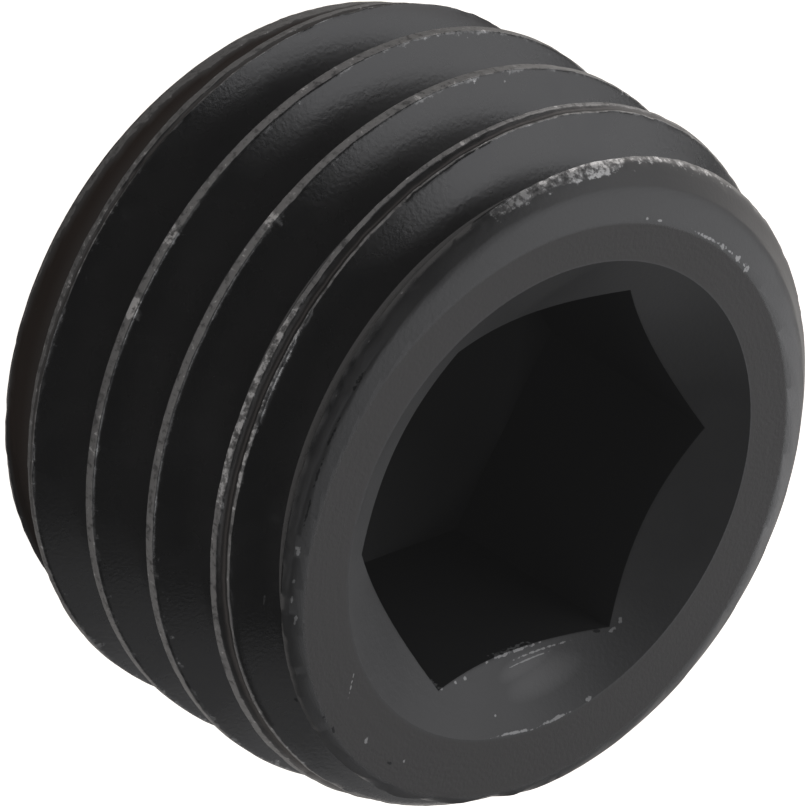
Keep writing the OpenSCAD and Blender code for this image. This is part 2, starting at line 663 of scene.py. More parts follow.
@dataclass
class RolledThread:
    """Right-hand thread as one helical band of faces, which runs out at both ends."""

    blank: Blank
    pitch: float = 2.0
    depth: float = 1.2268
    crest_flat: float = 0.23
    half_angle: float = 30.0
    crest_round: float = 0.07
    root_round: float = 0.10
    edge_round: float = 0.15
    facet_round: float = 0.06
    cut_round: float = 0.015
    ease_below: float = 0.1
    crest_at_x: float = -0.77
    lip_share: float = 0.45
    lip_depth: float = 0.07
    lip_off: float = 0.28
    lip_half: float = 0.48
    lip_fade: tuple[float, float] = (0.38, 0.60)
    lip_reach: float = 0.06
    lip_grime: float = 0.45
    ragged: float = 0.08
    ragged_mm: float = 0.5
    fray: float = 0.3
    chipped: float = 0.06
    chipped_mm: float = 0.35
    chip_reach: float = 0.12
    turns: int = 7
    seed: float = 7.0
    wear: float = 0.6
    wear_gain: float = 0.25
    brink: float = 0.2
    face_hold: float = 0.55
    scale_fade: tuple[float, float] = (1.1, 2.0)
    crisp_angle: float = 33.0
    weld: float = 0.002
    patches: tuple[WearPatch, ...] = (
        WearPatch(92.0, 16.0, 8.9, 9.9, 1.6),
        WearPatch(66.0, 24.0, 8.8, 9.6, 0.95),
        WearPatch(152.0, 20.0, 7.3, 8.9, 1.9),
        WearPatch(244.0, 9.0, 9.0, 9.95, 1.2),
        WearPatch(142.0, 24.0, 1.3, 2.5, 0.9),
        WearPatch(149.5, 2.2, 3.0, 5.0, 3.0),
        WearPatch(137.0, 1.8, 3.0, 5.0, 2.4),
        WearPatch(127.5, 2.2, 5.0, 7.0, 2.0),
    )
    half_rows: tuple[float, ...] = (
        0.045,
        0.075,
        0.10,
        0.125,
        0.155,
        0.19,
        0.23,
        0.28,
        0.33,
        0.39,
        0.45,
        0.52,
        0.59,
        0.66,
        0.74,
        0.82,
        0.90,
        1.0,
    )

    def across(self) -> list[float]:
        """Lists the rows of the band from groove to groove, close together at the crest.

        Returns:
            Distances from the crest's middle, as shares of half the pitch.
        """
        return [-w for w in reversed(self.half_rows)] + [0.0] + list(self.half_rows)

    def inputs(self, material: bpy.types.Material, ends: bpy.types.Object) -> dict[str, object]:
        """Lists the tree's inputs, with lengths in metres.

        Args:
            material: Finish of the whole screw.
            ends: Mesh of the socket end and the point, with the same columns.

        Returns:
            Value of each named input.
        """
        blank = self.blank
        first = (blank.length + self.crest_at_x) % self.pitch - 2 * self.pitch
        return {
            "Major Radius": blank.major_d / 2 * MM,
            "Pitch": self.pitch * MM,
            "Length": blank.length * MM,
            "Depth": self.depth * MM,
            "Crest Half": self.crest_flat / 2 * MM,
            "Flank Slope": 1 / math.tan(math.radians(self.half_angle)),
            "Crest Round": self.crest_round * MM,
            "Root Round": self.root_round * MM,
            "Edge Round": self.edge_round * MM,
            "Face Radius": blank.face_d / 2 * MM,
            "Face Run": 1 / math.tan(math.radians(blank.face_slope)),
            "Face Shift": (blank.face_x * MM, blank.face_y * MM, 0.0),
            "Edge Radius": blank.edge_d / 2 * MM,
            "Edge Run": 1 / math.tan(math.radians(blank.edge_slope)),
            "Edge Shift": (blank.edge_x * MM, blank.edge_y * MM, 0.0),
            "Face Lead": blank.face_lead * MM,
            "Face Lack": blank.face_lack * MM,
            "Face Fade": blank.face_fade * MM,
            "Face Groove": blank.face_groove,
            "Point Radius": blank.point_d / 2 * MM,
            "Point Run": 1 / math.tan(math.radians(blank.point_slope)),
            "Point Lead": blank.point_lead * MM,
            "Point Lack": blank.point_lack * MM,
            "Point Fade": blank.point_fade * MM,
            "Point Groove": blank.point_groove,
            "First Crest": first * MM,
            "Lip Share": self.lip_share,
            "Lip Depth": self.lip_depth * MM,
            "Ragged": self.ragged * MM,
            "Chipped": self.chipped * MM,
            "Turns": float(self.turns),
            "Steps": blank.columns,
            "Seed": self.seed,
            "Ends": ends,
            "Finish": material,
        }

    def roll(self, material: bpy.types.Material, ends: bpy.types.Object) -> bpy.types.Mesh:
        """Rolls the thread and returns the closed screw as a plain mesh.

        Args:
            material: Finish of the whole screw.
            ends: Mesh of the socket end and the point, with the same columns.

        Returns:
            The screw's mesh, in place.
        """
        inputs = self.inputs(material, ends)
        tree = ThreadTree(self, bpy.data.node_groups.new("rolled_thread", "GeometryNodeTree")).build(inputs)
        holder = bpy.data.objects.new("thread_holder", bpy.data.meshes.new("thread_holder"))
        bpy.context.scene.collection.objects.link(holder)
        modifier = holder.modifiers.new("roll", "NODES")
        modifier.node_group = tree
        for item in tree.interface.items_tree:
            if item.in_out == "INPUT":
                modifier[item.identifier] = inputs[item.name]
        graph = bpy.context.evaluated_depsgraph_get()
        mesh = bpy.data.meshes.new_from_object(holder.evaluated_get(graph), depsgraph=graph)
        holder.modifiers.remove(modifier)
        bpy.data.objects.remove(holder)
        return mesh


@dataclass
class ThreadTree:
    """Node tree that rolls the thread, built step by step with the sockets that later steps read."""

    thread: RolledThread
    tree: bpy.types.NodeTree
    given: bpy.types.Node = field(init=False)
    band: bpy.types.NodeSocket = field(init=False)
    offset: bpy.types.NodeSocket = field(init=False)
    angle: bpy.types.NodeSocket = field(init=False)
    climb: bpy.types.NodeSocket = field(init=False)
    height: bpy.types.NodeSocket = field(init=False)
    below: bpy.types.NodeSocket = field(init=False)
    ray: bpy.types.NodeSocket = field(init=False)
    spot: bpy.types.NodeSocket = field(init=False)
    depth: bpy.types.NodeSocket = field(init=False)
    crest_r: bpy.types.NodeSocket = field(init=False)
    bite: bpy.types.NodeSocket = field(init=False)
    dip: bpy.types.NodeSocket = field(init=False)
    proud: bpy.types.NodeSocket = field(init=False)
    hollow: bpy.types.NodeSocket = field(init=False)
    thread_r: bpy.types.NodeSocket = field(init=False)
    over: bpy.types.NodeSocket = field(init=False)
    radius: bpy.types.NodeSocket = field(init=False)

    def build(self, inputs: dict[str, object]) -> bpy.types.NodeTree:
        """Builds the whole tree.

        Args:
            inputs: Value of each named input, for the kinds of their sockets.

        Returns:
            The finished tree.
        """
        kinds = {
            float: "NodeSocketFloat",
            int: "NodeSocketInt",
            tuple: "NodeSocketVector",
            bpy.types.Object: "NodeSocketObject",
            bpy.types.Material: "NodeSocketMaterial",
        }
        for name, value in inputs.items():
            self.tree.interface.new_socket(name, in_out="INPUT", socket_type=kinds[type(value)])
        self.tree.interface.new_socket("Screw", in_out="OUTPUT", socket_type="NodeSocketGeometry")
        self.given = add_node(self.tree, "NodeGroupInput")
        self.lay_flat()
        self.place()
        self.run_out()
        self.shape_profile()
        self.hollow_crests()
        self.chamfer()
        self.chip_edges()
        self.mark_zones(self.find_wear())
        self.wind()
        self.close()
        return self.tree

    def lay_flat(self) -> None:
        """Lays a flat band: a column for each step along the helix, a row for each profile point."""
        tree = self.tree
        size = self.given.outputs
        rows = self.thread.across()
        last = len(rows) - 1
        count = add_node(
            tree,
            "ShaderNodeMath",
            {0: size["Turns"], 1: size["Steps"], 2: 1.0},
            operation="MULTIPLY_ADD",
        ).outputs[0]
        self.band = add_node(
            tree,
            "GeometryNodeMeshGrid",
            {"Size X": 1.0, "Size Y": 1.0, "Vertices X": count, "Vertices Y": len(rows)},
        ).outputs["Mesh"]
        flat = add_node(
            tree, "ShaderNodeSeparateXYZ", {0: add_node(tree, "GeometryNodeInputPosition").outputs[0]}
        ).outputs
        share = add_node(tree, "ShaderNodeMath", {0: flat[0], 1: 0.5}, operation="ADD").outputs[0]
        turn = add_node(
            tree, "ShaderNodeMath", {0: share, 1: size["Turns"]}, operation="MULTIPLY"
        ).outputs[0]
        row = add_node(tree, "ShaderNodeMath", {0: flat[1], 1: 0.5}, operation="ADD").outputs[0]
        spread = shape_curve(
            add_node(tree, "ShaderNodeFloatCurve", {1: row}),
            [(i / last, 0.5 + w / 2) for i, w in enumerate(rows)],
        ).outputs[0]
        centred = add_node(
            tree, "ShaderNodeMath", {0: spread, 1: 0.5}, operation="SUBTRACT"
        ).outputs[0]
        offset = add_node(
            tree, "ShaderNodeMath", {0: centred, 1: size["Pitch"]}, operation="MULTIPLY"
        ).outputs[0]
        self.store(Zone.ALONG, turn)
        self.store(Zone.ACROSS, offset)

    def store(self, zone: Zone, value: bpy.types.NodeSocket) -> None:
        """Stores a value on the band.

        Args:
            zone: Attribute that takes the value.
            value: The value at each point.
        """
        self.band = add_node(
            self.tree,
            "GeometryNodeStoreNamedAttribute",
            {"Geometry": self.band, "Name": zone.value, "Value": value},
        ).outputs[0]

    def place(self) -> None:
        """Finds each point's place round the axis and its height, held between the two end faces."""
        tree = self.tree
        size = self.given.outputs
        turn = add_node(
            tree, "GeometryNodeInputNamedAttribute", {"Name": Zone.ALONG.value}
        ).outputs[0]
        self.offset = add_node(
            tree, "GeometryNodeInputNamedAttribute", {"Name": Zone.ACROSS.value}
        ).outputs[0]
        self.angle = add_node(
            tree, "ShaderNodeMath", {0: turn, 1: math.tau}, operation="MULTIPLY"
        ).outputs[0]
        self.climb = add_node(
            tree,
            "ShaderNodeMath",
            {0: turn, 1: size["Pitch"], 2: size["First Crest"]},
            operation="MULTIPLY_ADD",
        ).outputs[0]
        free_z = add_node(
            tree, "ShaderNodeMath", {0: self.climb, 1: self.offset}, operation="ADD"
        ).outputs[0]
        self.height = add_node(
            tree, "ShaderNodeClamp", {"Value": free_z, "Min": 0.0, "Max": size["Length"]}
        ).outputs[0]
        self.below = add_node(
            tree, "ShaderNodeMath", {0: size["Length"], 1: self.height}, operation="SUBTRACT"
        ).outputs[0]
        spin = add_node(tree, "ShaderNodeCombineXYZ", {2: self.angle}).outputs[0]
        self.ray = add_node(
            tree,
            "ShaderNodeVectorRotate",
            {"Vector": (1.0, 0.0, 0.0), "Rotation": spin},
            rotation_type="EULER_XYZ",
        ).outputs[0]
        spot = add_node(
            tree,
            "ShaderNodeVectorMath",
            {0: self.ray, "Scale": size["Major Radius"]},
            operation="SCALE",
        ).outputs[0]
        lift = add_node(tree, "ShaderNodeCombineXYZ", {2: self.height}).outputs[0]
        self.spot = add_node(
            tree, "ShaderNodeVectorMath", {0: spot, 1: lift}, operation="ADD"
        ).outputs[0]

    def run_out(self) -> None:
        """Lowers the crests near the ends, and lets the groove beside a crest run out."""
        tree = self.tree
        size = self.given.outputs
        side = add_node(tree, "ShaderNodeMath", {0: self.offset}, operation="SIGN").outputs[0]
        groove_z = add_node(
            tree, "ShaderNodeMath", {0: size["Pitch"], 1: 0.5}, operation="MULTIPLY"
        ).outputs[0]
        groove_z = add_node(
            tree, "ShaderNodeMath", {0: groove_z, 1: side, 2: self.climb}, operation="MULTIPLY_ADD"
        ).outputs[0]
        groove_below = add_node(
            tree, "ShaderNodeMath", {0: size["Length"], 1: groove_z}, operation="SUBTRACT"
        ).outputs[0]
        depth = size["Depth"]
        crest_r = size["Major Radius"]
        ends = (("Face", self.below, groove_below), ("Point", self.height, groove_z))
        for end, from_end, groove_end in ends:
            left = add_node(
                tree,
                "ShaderNodeMapRange",
                {0: groove_end, 1: 0.0, 2: size[f"{end} Fade"], 3: size[f"{end} Groove"], 4: 1.0},
            ).outputs[0]
            depth = add_node(
                tree, "ShaderNodeMath", {0: depth, 1: left}, operation="MULTIPLY"
            ).outputs[0]
            lack = add_node(
                tree,
                "ShaderNodeMapRange",
                {0: from_end, 1: 0.0, 2: size[f"{end} Lead"], 3: size[f"{end} Lack"], 4: 0.0},
            ).outputs[0]
            crest_r = add_node(
                tree, "ShaderNodeMath", {0: crest_r, 1: lack}, operation="SUBTRACT"
            ).outputs[0]
        self.depth = depth
        self.crest_r = crest_r

    def shape_profile(self) -> None:
        """Shapes the full profile: crest flat, straight flank and rounded root."""
        tree = self.tree
        size = self.given.outputs
        nick = add_node(
            tree,
            "ShaderNodeTexNoise",
            {
                "Vector": self.spot,
                "W": size["Seed"],
                "Scale": 1 / (self.thread.ragged_mm * MM),
                "Detail": 3.0,
            },
            noise_dimensions="4D",
        ).outputs[0]
        self.bite = add_node(
            tree, "ShaderNodeMath", {0: nick, 1: 0.5}, operation="SUBTRACT"
        ).outputs[0]
        far = add_node(tree, "ShaderNodeMath", {0: self.offset}, operation="ABSOLUTE").outputs[0]
        past = add_node(
            tree, "ShaderNodeMath", {0: far, 1: size["Crest Half"]}, operation="SUBTRACT"
        ).outputs[0]
        down = add_node(
            tree, "ShaderNodeMath", {0: past, 1: size["Flank Slope"]}, operation="MULTIPLY"
        ).outputs[0]
        eased = add_node(
            tree,
            "ShaderNodeMath",
            {0: down, 1: 0.0, 2: size["Crest Round"]},
            operation="SMOOTH_MAX",
        ).outputs[0]
        self.dip = add_node(
            tree,
            "ShaderNodeMath",
            {0: eased, 1: self.depth, 2: size["Root Round"]},
            operation="SMOOTH_MIN",
        ).outputs[0]

    def hollow_crests(self) -> None:
        """Cuts the profile off at the crests, uneven, and hollow between two lips where nearly full."""
        tree = self.tree
        size = self.given.outputs
        thread = self.thread
        full_r = add_node(
            tree, "ShaderNodeMath", {0: size["Major Radius"], 1: self.dip}, operation="SUBTRACT"
        ).outputs[0]
        uneven = add_node(
            tree,
            "ShaderNodeMath",
            {0: self.bite, 1: size["Ragged"], 2: self.crest_r},
            operation="MULTIPLY_ADD",
        ).outputs[0]
        self.proud = add_node(
            tree, "ShaderNodeMath", {0: full_r, 1: uneven}, operation="SUBTRACT"
        ).outputs[0]
        missing = add_node(
            tree, "ShaderNodeMath", {0: size["Major Radius"], 1: self.crest_r}, operation="SUBTRACT"
        ).outputs[0]
        half_flat = add_node(
            tree, "ShaderNodeMath", {0: missing, 1: size["Flank Slope"]}, operation="DIVIDE"
        ).outputs[0]
        half_flat = add_node(
            tree, "ShaderNodeMath", {0: half_flat, 1: size["Crest Half"]}, operation="ADD"
        ).outputs[0]
        share = add_node(
            tree, "ShaderNodeMath", {0: self.offset, 1: half_flat}, operation="DIVIDE"
        ).outputs[0]
        share = add_node(
            tree, "ShaderNodeMath", {0: share, 1: thread.lip_off}, operation="SUBTRACT"
        ).outputs[0]
        share = add_node(
            tree, "ShaderNodeMath", {0: share, 1: thread.lip_half}, operation="DIVIDE"
        ).outputs[0]
        share = add_node(tree, "ShaderNodeMath", {0: share, 1: share}, operation="MULTIPLY").outputs[0]
        bowl = add_node(
            tree, "ShaderNodeMath", {0: 1.0, 1: share}, operation="SUBTRACT", use_clamp=True
        ).outputs[0]
        hollow = add_node(
            tree, "ShaderNodeMath", {0: missing, 1: size["Lip Share"]}, operation="MULTIPLY"
        ).outputs[0]
        hollow = add_node(
            tree, "ShaderNodeMath", {0: hollow, 1: size["Lip Depth"]}, operation="MINIMUM"
        ).outputs[0]
        hollow = add_node(
            tree, "ShaderNodeMath", {0: hollow, 1: bowl}, operation="MULTIPLY"
        ).outputs[0]
        start, end = thread.lip_fade
        part_full = add_node(
            tree, "ShaderNodeMapRange", {0: missing, 1: start * MM, 2: end * MM, 3: 1.0, 4: 0.0}
        ).outputs[0]
        self.hollow = add_node(
            tree, "ShaderNodeMath", {0: hollow, 1: part_full}, operation="MULTIPLY"
        ).outputs[0]
        held_r = add_node(
            tree,
            "ShaderNodeMath",
            {0: full_r, 1: uneven, 2: thread.cut_round * MM},
            operation="SMOOTH_MIN",
        ).outputs[0]
        self.thread_r = add_node(
            tree, "ShaderNodeMath", {0: held_r, 1: self.hollow}, operation="SUBTRACT"
        ).outputs[0]

    def chamfer(self) -> None:
        """Cuts the thread back at both ends; the roundings fade to nothing at the face."""
        tree = self.tree
        size = self.given.outputs
        ease = add_node(
            tree,
            "ShaderNodeMapRange",
            {0: self.below, 1: 0.0, 2: self.thread.ease_below * MM, 3: 0.0, 4: 1.0},
        ).outputs[0]
        facet_round = add_node(
            tree, "ShaderNodeMath", {0: ease, 1: self.thread.facet_round * MM}, operation="MULTIPLY"
        ).outputs[0]
        edge_round = add_node(
            tree, "ShaderNodeMath", {0: ease, 1: size["Edge Round"]}, operation="MULTIPLY"
        ).outputs[0]
        cones = []
        for cone in ("Face", "Edge"):
            cone_r = add_node(
                tree,
                "ShaderNodeMath",
                {0: self.below, 1: size[f"{cone} Run"], 2: size[f"{cone} Radius"]},
                operation="MULTIPLY_ADD",
            ).outputs[0]
            shift = add_node(
                tree,
                "ShaderNodeVectorMath",
                {0: self.ray, 1: size[f"{cone} Shift"]},
                operation="DOT_PRODUCT",
            ).outputs["Value"]
            cones.append(
                add_node(tree, "ShaderNodeMath", {0: cone_r, 1: shift}, operation="ADD").outputs[0]
            )
        face_r = add_node(
            tree, "ShaderNodeMath", {0: cones[0], 1: cones[1], 2: facet_round}, operation="SMOOTH_MIN"
        ).outputs[0]
        point_r = add_node(
            tree,
            "ShaderNodeMath",
            {0: self.height, 1: size["Point Run"], 2: size["Point Radius"]},
            operation="MULTIPLY_ADD",
        ).outputs[0]
        cut_r = add_node(
            tree, "ShaderNodeMath", {0: face_r, 1: point_r}, operation="MINIMUM"
        ).outputs[0]
        self.radius = add_node(
            tree,
            "ShaderNodeMath",
            {0: self.thread_r, 1: cut_r, 2: edge_round},
            operation="SMOOTH_MIN",
        ).outputs[0]
        self.over = add_node(
            tree, "ShaderNodeMath", {0: self.thread_r, 1: cut_r}, operation="SUBTRACT"
        ).outputs[0]

    def chip_edges(self) -> None:
        """Takes chips out of the chamfers' edges, but none at the face."""
        tree = self.tree
        size = self.given.outputs
        chip = add_node(
            tree,
            "ShaderNodeTexNoise",
            {
                "Vector": self.spot,
                "W": size["Seed"],
                "Scale": 1 / (self.thread.chipped_mm * MM),
                "Detail": 2.0,
            },
            noise_dimensions="4D",
        ).outputs[0]
        chip = add_node(
            tree, "ShaderNodeMath", {0: chip, 1: 0.52}, operation="SUBTRACT", use_clamp=True
        ).outputs[0]
        away = add_node(tree, "ShaderNodeMath", {0: self.over}, operation="ABSOLUTE").outputs[0]
        near = add_node(
            tree,
            "ShaderNodeMapRange",
            {0: away, 1: 0.0, 2: self.thread.chip_reach * MM, 3: 4.0, 4: 0.0},
        ).outputs[0]
        inner = add_node(
            tree, "ShaderNodeMapRange", {0: self.below, 1: 0.02 * MM, 2: 0.08 * MM, 3: 0.0, 4: 1.0}
        ).outputs[0]
        near = add_node(tree, "ShaderNodeMath", {0: near, 1: inner}, operation="MULTIPLY").outputs[0]
        chip = add_node(tree, "ShaderNodeMath", {0: chip, 1: near}, operation="MULTIPLY").outputs[0]
        chip = add_node(
            tree, "ShaderNodeMath", {0: chip, 1: size["Chipped"]}, operation="MULTIPLY"
        ).outputs[0]
        self.radius = add_node(
            tree, "ShaderNodeMath", {0: self.radius, 1: chip}, operation="SUBTRACT"
        ).outputs[0]

    def find_wear(self) -> bpy.types.NodeSocket:
        """Finds how much more than the rest each point is rubbed.

        Returns:
            Sum of the worn patches.
        """
        tree = self.tree
        worn: bpy.types.NodeSocket | float = 0.0
        for patch in self.thread.patches:
            azimuth = math.radians(patch.angle)
            facing = add_node(
                tree,
                "ShaderNodeVectorMath",
                {0: self.ray, 1: (math.cos(azimuth), math.sin(azimuth), 0.0)},
                operation="DOT_PRODUCT",
            ).outputs["Value"]
            inside = add_node(
                tree,
                "ShaderNodeMapRange",
                {
                    0: facing,
                    1: math.cos(math.radians(patch.spread)),
                    2: math.cos(math.radians(patch.spread * 0.6)),
                    3: 0.0,
                    4: patch.amount,
                },
            ).outputs[0]
            middle = (patch.low + patch.high) / 2
            half = (patch.high - patch.low) / 2
            level = add_node(
                tree,
                "ShaderNodeMath",
                {0: self.height, 1: middle * MM, 2: half * MM},
                operation="COMPARE",
            ).outputs[0]
            worn = add_node(
                tree, "ShaderNodeMath", {0: inside, 1: level, 2: worn}, operation="MULTIPLY_ADD"
            ).outputs[0]
        return worn

    def mark_zones(self, worn: bpy.types.NodeSocket) -> None:
        """Marks the zones of the finish: chamfers, edges that rub, and places that keep their scale.

        Args:
            worn: How much more than the rest each point is rubbed.
        """
        tree = self.tree
        thread = self.thread
        turned = add_node(
            tree, "ShaderNodeMapRange", {0: self.over, 1: -0.02 * MM, 2: 0.03 * MM, 3: 0.0, 4: 1.0}
        ).outputs[0]
        frayed = add_node(
            tree,
            "ShaderNodeMath",
            {0: self.bite, 1: -thread.fray * MM, 2: self.dip},
            operation="MULTIPLY_ADD",
        ).outputs[0]
        top = add_node(
            tree, "ShaderNodeMapRange", {0: frayed, 1: 0.0, 2: thread.fray * MM, 3: 1.0, 4: 0.0}
        ).outputs[0]
        lip = add_node(
            tree, "ShaderNodeMapRange", {0: self.proud, 1: -thread.lip_reach * MM, 2: 0.0, 3: 0.0, 4: 1.0}
        ).outputs[0]
        hold = add_node(
            tree,
            "ShaderNodeMapRange",
            {0: self.below, 1: 0.3 * MM, 2: 1.2 * MM, 3: thread.face_hold, 4: 1.0},
        ).outputs[0]
        held = add_node(tree, "ShaderNodeMath", {0: lip, 1: hold}, operation="MULTIPLY").outputs[0]
        thread_only = add_node(
            tree, "ShaderNodeMath", {0: 1.0, 1: turned}, operation="SUBTRACT"
        ).outputs[0]
        high = add_node(tree, "ShaderNodeMath", {0: top, 1: held}, operation="MAXIMUM").outputs[0]
        high = add_node(
            tree, "ShaderNodeMath", {0: high, 1: thread_only}, operation="MULTIPLY"
        ).outputs[0]
        sunk = add_node(
            tree,
            "ShaderNodeMath",
            {0: self.hollow, 1: self.given.outputs["Lip Depth"]},
            operation="DIVIDE",
            use_clamp=True,
        ).outputs[0]
        kept = add_node(
            tree, "ShaderNodeMath", {0: sunk, 1: -1.6, 2: 1.0}, operation="MULTIPLY_ADD", use_clamp=True
        ).outputs[0]
        high = add_node(tree, "ShaderNodeMath", {0: high, 1: kept}, operation="MULTIPLY").outputs[0]
        start, end = thread.scale_fade
        low = add_node(
            tree, "ShaderNodeMapRange", {0: self.height, 1: start * MM, 2: end * MM, 3: 1.0, 4: 0.0}
        ).outputs[0]
        spared = add_node(tree, "ShaderNodeMath", {0: 1.0, 1: high}, operation="SUBTRACT").outputs[0]
        scale = add_node(tree, "ShaderNodeMath", {0: low, 1: spared}, operation="MULTIPLY").outputs[0]
        grime = add_node(
            tree, "ShaderNodeMath", {0: sunk, 1: thread.lip_grime}, operation="MULTIPLY"
        ).outputs[0]
        scale = add_node(tree, "ShaderNodeMath", {0: scale, 1: grime}, operation="MAXIMUM").outputs[0]
        wear = add_node(
            tree, "ShaderNodeMath", {0: worn, 1: thread.wear_gain, 2: thread.wear}, operation="MULTIPLY_ADD"
        ).outputs[0]
        brink = add_node(
            tree, "ShaderNodeMapRange", {0: self.over, 1: 0.0, 2: thread.brink * MM, 3: 1.0, 4: 0.0}
        ).outputs[0]
        brink = add_node(tree, "ShaderNodeMath", {0: brink, 1: lip}, operation="MULTIPLY").outputs[0]
        brink = add_node(
            tree, "ShaderNodeMath", {0: brink, 1: worn}, operation="MULTIPLY", use_clamp=True
        ).outputs[0]
        brink = add_node(tree, "ShaderNodeMath", {0: brink, 1: kept}, operation="MULTIPLY").outputs[0]
        high = add_node(tree, "ShaderNodeMath", {0: high, 1: brink}, operation="MAXIMUM").outputs[0]
        self.store(Zone.CREST, high)
        self.store(Zone.TURNED, turned)
        self.store(Zone.SCALE, scale)
        self.store(Zone.WEAR, wear)

    def wind(self) -> None:
        """Winds the band round the axis, and keeps the length along the helix for the lay."""
        tree = self.tree
        out = add_node(
            tree, "ShaderNodeVectorMath", {0: self.ray, "Scale": self.radius}, operation="SCALE"
        ).outputs[0]
        rise = add_node(tree, "ShaderNodeCombineXYZ", {2: self.height}).outputs[0]
        put = add_node(tree, "ShaderNodeVectorMath", {0: out, 1: rise}, operation="ADD").outputs[0]
        self.band = add_node(
            tree, "GeometryNodeSetPosition", {"Geometry": self.band, "Position": put}
        ).outputs[0]
        length_along = add_node(
            tree,
            "ShaderNodeMath",
            {0: self.angle, 1: self.given.outputs["Major Radius"]},
            operation="MULTIPLY",
        ).outputs[0]
        self.store(Zone.ALONG, length_along)

    def close(self) -> None:
        """Closes the band with the two ends, welds it and keeps its true edges sharp."""
        tree = self.tree
        size = self.given.outputs
        closing = add_node(tree, "GeometryNodeObjectInfo", {"Object": size["Ends"]}).outputs["Geometry"]
        join = add_node(tree, "GeometryNodeJoinGeometry")
        tree.links.new(self.band, join.inputs[0])
        tree.links.new(closing, join.inputs[0])
        whole = add_node(
            tree,
            "GeometryNodeMergeByDistance",
            {"Geometry": join.outputs[0], "Distance": self.thread.weld * MM},
        ).outputs[0]
        bend = add_node(tree, "GeometryNodeInputMeshEdgeAngle").outputs["Unsigned Angle"]
        soft = add_node(
            tree,
            "FunctionNodeCompare",
            {0: bend, 1: math.radians(self.thread.crisp_angle)},
            data_type="FLOAT",
            operation="LESS_THAN",
        ).outputs[0]
        whole = add_node(
            tree, "GeometryNodeSetShadeSmooth", {"Geometry": whole, "Shade Smooth": True}, domain="FACE"
        ).outputs[0]
        whole = add_node(
            tree, "GeometryNodeSetShadeSmooth", {"Geometry": whole, "Shade Smooth": soft}, domain="EDGE"
        ).outputs[0]
        whole = add_node(tree, "GeometryNodeRealizeInstances", {"Geometry": whole}).outputs[0]
        whole = add_node(
            tree, "GeometryNodeSetMaterial", {"Geometry": whole, "Material": size["Finish"]}
        ).outputs[0]
        add_node(tree, "NodeGroupOutput", {"Screw": whole})


@dataclass
class Ring:
    """One ring of points on the screw's end, with its values for the finish."""

    x: np.ndarray
    y: np.ndarray
    z: np.ndarray
    turned: float = 1.0
    broached: float = 0.0
    crest: float = 0.0
    scale: float = 0.0


